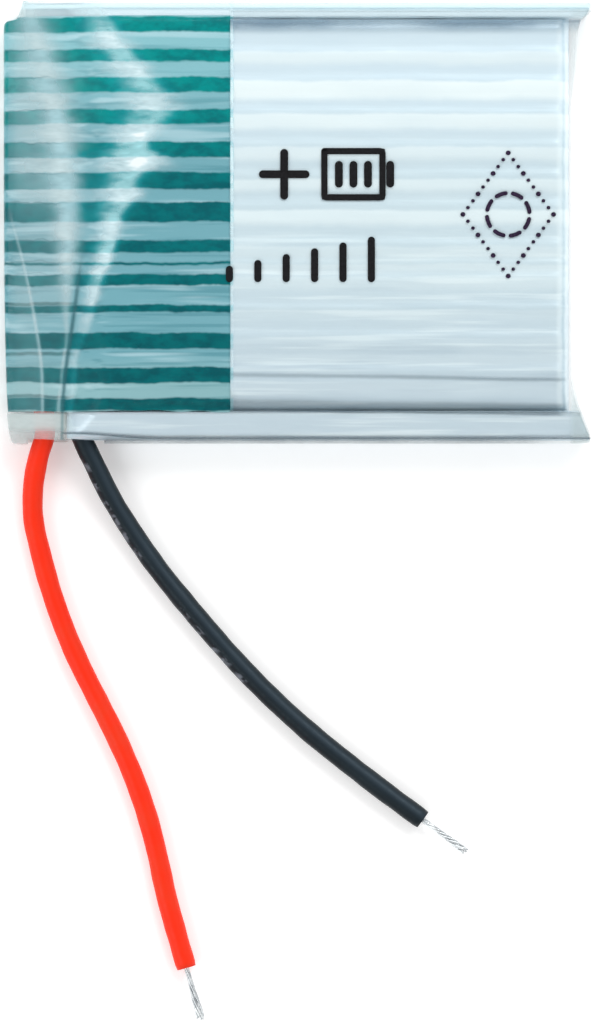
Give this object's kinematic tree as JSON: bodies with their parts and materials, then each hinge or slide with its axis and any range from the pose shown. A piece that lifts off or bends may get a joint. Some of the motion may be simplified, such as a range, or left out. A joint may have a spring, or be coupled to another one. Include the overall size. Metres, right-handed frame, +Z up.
{
  "type": "lithium polymer battery pack",
  "caption": "Small flat pouch battery pack with a teal band at the tab end, a ribbed silver face in clear film, and a red and a black bare-ended lead.",
  "frame": {"origin": "centre of the underside of the pack's box, leads left out", "axes": "+Z up through the thickness, +X along the length away from the taped tab end, +Y across the width away from the side where the leads come out"},
  "size_m": [0.0344, 0.0599, 0.0041],
  "materials": {
    "clear_film": "clear, glossy, lightly corrugated lengthwise",
    "teal_film": "glossy tape",
    "laminate": "satin foil",
    "print_ink": "matt black inkjet dots",
    "cathode_coating": "matt coated foil",
    "anode_coating": "matt coated foil",
    "separator_film": "matt white film",
    "cell_tape": "thin tape",
    "polyimide": "amber film",
    "aluminium_tab": "rolled strip",
    "nickel": "rolled strip",
    "seal_film": "heat-sealed film",
    "insulating_paper": "smooth paper",
    "board": "solder mask",
    "chip_case": "moulded epoxy",
    "chip_ceramic": "fired ceramic",
    "solder": "bright solder",
    "tinned_copper": "tinned strands",
    "red_insulation": "soft satin sleeve",
    "black_insulation": "soft satin sleeve"
  },
  "bodies": {
    "root": {"pouch_cup": "laminate", "pouch_cover": "laminate", "cathode_sheet": "cathode_coating", "anode_sheet": "anode_coating", "inner_separator": "separator_film", "outer_separator": "separator_film", "roll_end_tape": "cell_tape", "positive_tab": "aluminium_tab", "negative_tab": "nickel", "positive_weld_tape": "cell_tape", "negative_weld_tape": "cell_tape", "positive_tab_seal": "seal_film", "negative_tab_seal": "seal_film", "board_insulator": "insulating_paper", "protection_board": "board", "weld_pads": "nickel", "switch_chip": "chip_case", "control_chip": "chip_case", "chip_resistors": "chip_case", "chip_capacitor": "chip_ceramic", "positive_solder_joint": "solder", "negative_solder_joint": "solder", "board_tape": "polyimide", "teal_tape": "teal_film", "clear_wrap": "clear_film", "red_lead_root": "tinned_copper", "red_lead": "red_insulation", "red_lead_tip": "tinned_copper", "black_lead_root": "tinned_copper", "black_lead": "black_insulation", "black_lead_tip": "tinned_copper"}
  },
  "joints": []
}
